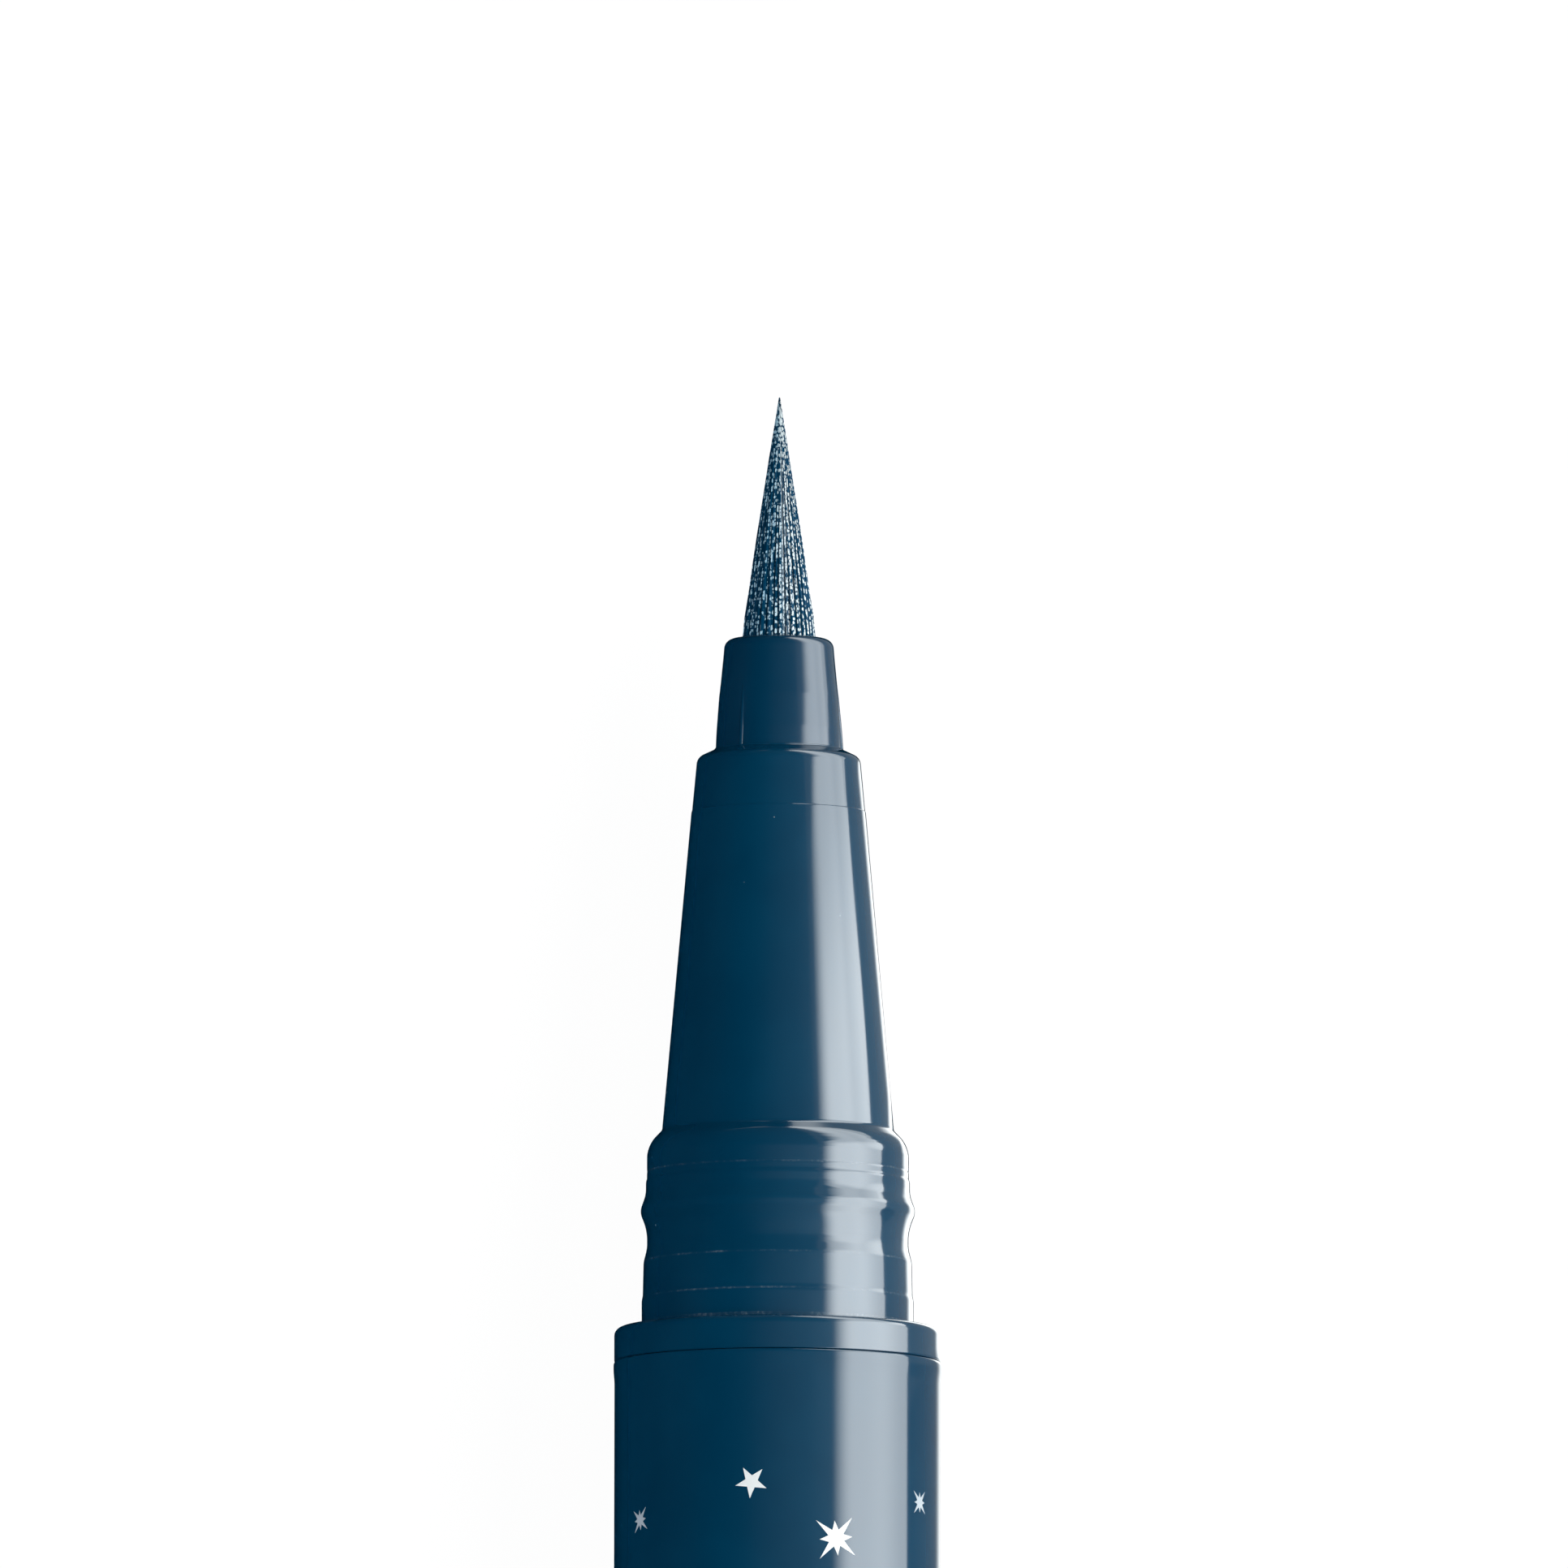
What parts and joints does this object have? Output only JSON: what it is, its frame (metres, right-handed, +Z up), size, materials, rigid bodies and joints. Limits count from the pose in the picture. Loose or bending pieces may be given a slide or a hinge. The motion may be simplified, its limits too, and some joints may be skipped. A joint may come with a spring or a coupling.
{
  "type": "brush-tip liquid eyeliner pen",
  "caption": "Slim liquid eyeliner pen with a fine brush tip, ink collector and tank in the barrel, and a pull-off cap with a sprung inner cap lying in line.",
  "frame": {"origin": "on the surface that the pen lies on, below the middle of the line from the barrel's tail face to the end of the cap", "axes": "+X along the pen from its tail towards its brush and on to the cap, +Z up from the surface, +Y to the left of someone looking along +X"},
  "size_m": [0.1792, 0.0108, 0.0108],
  "materials": {
    "barrel_plastic": "glossy navy blue with scattered white star print",
    "front_plastic": "glossy moulded navy blue",
    "cap_plastic": "glossy navy blue with scattered white star print",
    "liner_plastic": "satin navy blue",
    "filaments": "dark navy synthetic filaments wet with ink",
    "felt": "ink-soaked bonded fibre",
    "natural_plastic": "natural translucent polypropylene",
    "white_plastic": "white moulded plastic",
    "seal_rubber": "black elastomer",
    "steel": "bright stainless steel"
  },
  "bodies": {
    "pen": {"barrel": "barrel_plastic", "tail_plug": "barrel_plastic", "front_section": "front_plastic", "barrel_seal_ring": "seal_rubber", "nib_holder": "front_plastic", "brush_tip": "filaments", "relay_core": "felt", "relay_pipe": "natural_plastic", "ink_collector": "white_plastic", "tank_seal_ring": "seal_rubber", "ink_tank": "natural_plastic"},
    "mixing_ball": {"mixing_ball": "steel"},
    "cap": {"cap_shell": "cap_plastic", "cap_end_plug": "cap_plastic", "cap_liner": "liner_plastic", "inner_cap_spring": "steel"},
    "inner_cap": {"inner_cap": "natural_plastic"}
  },
  "joints": [
    {"name": "cap_slide", "type": "slide", "parent": "pen", "child": "cap", "axis": [1, 0, 0], "range_m": [-0.04577, 0]},
    {"name": "inner_cap_slide", "type": "slide", "parent": "cap", "child": "inner_cap", "axis": [1, 0, 0], "range_m": [0, 0.0015], "stiffness_N_per_m": 300, "springref_m": -0.002, "deforming": ["inner_cap_spring"]},
    {"name": "ball_travel", "type": "slide", "parent": "pen", "child": "mixing_ball", "axis": [1, 0, 0], "range_m": [0, 0.06]}
  ]
}
